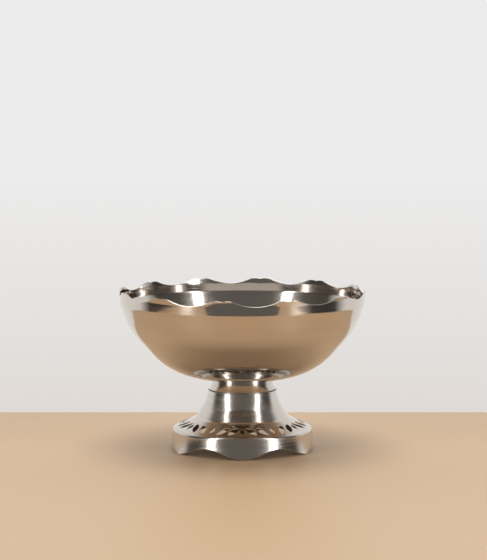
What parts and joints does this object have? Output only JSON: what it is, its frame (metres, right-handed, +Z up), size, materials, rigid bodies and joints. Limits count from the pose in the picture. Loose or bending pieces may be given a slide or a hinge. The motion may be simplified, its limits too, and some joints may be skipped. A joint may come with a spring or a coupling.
{
  "type": "punch bowl",
  "caption": "Polished metal punch bowl with a scalloped rim, bolted to a flared foot with a pierced shoulder and a lobed hem.",
  "frame": {"origin": "on the tabletop under the middle of the bowl", "axes": "+Z up along the axis of the bowl; -Y towards the viewer, through the middle of one lobe of the foot"},
  "size_m": [0.3606, 0.3606, 0.2341],
  "materials": {
    "bowl_metal": "polished sheet with fine spun lines round the axis",
    "collar_metal": "polished sheet with fine spun lines round the axis",
    "foot_metal": "polished sheet with fine spun lines round the axis",
    "boss_metal": "turned",
    "plate_metal": "turned, with a soldered edge",
    "fastener_metal": "zinc plated"
  },
  "bodies": {
    "stand": {"foot_shell": "foot_metal", "stem_plate": "plate_metal"},
    "bowl": {"bowl_shell": "bowl_metal", "bowl_collar": "collar_metal", "bowl_boss": "boss_metal"},
    "bolt_set": {"clamp_bolt": "fastener_metal", "plain_washer": "fastener_metal", "spring_washer": "fastener_metal"}
  },
  "joints": [
    {"name": "bowl_lift", "type": "slide", "parent": "stand", "child": "bowl", "axis": [0, 0, 1], "range_m": [0, 0.06]},
    {"name": "bolt_undo", "type": "slide", "parent": "stand", "child": "bolt_set", "axis": [0, 0, -1], "range_m": [0, 0.022]}
  ]
}
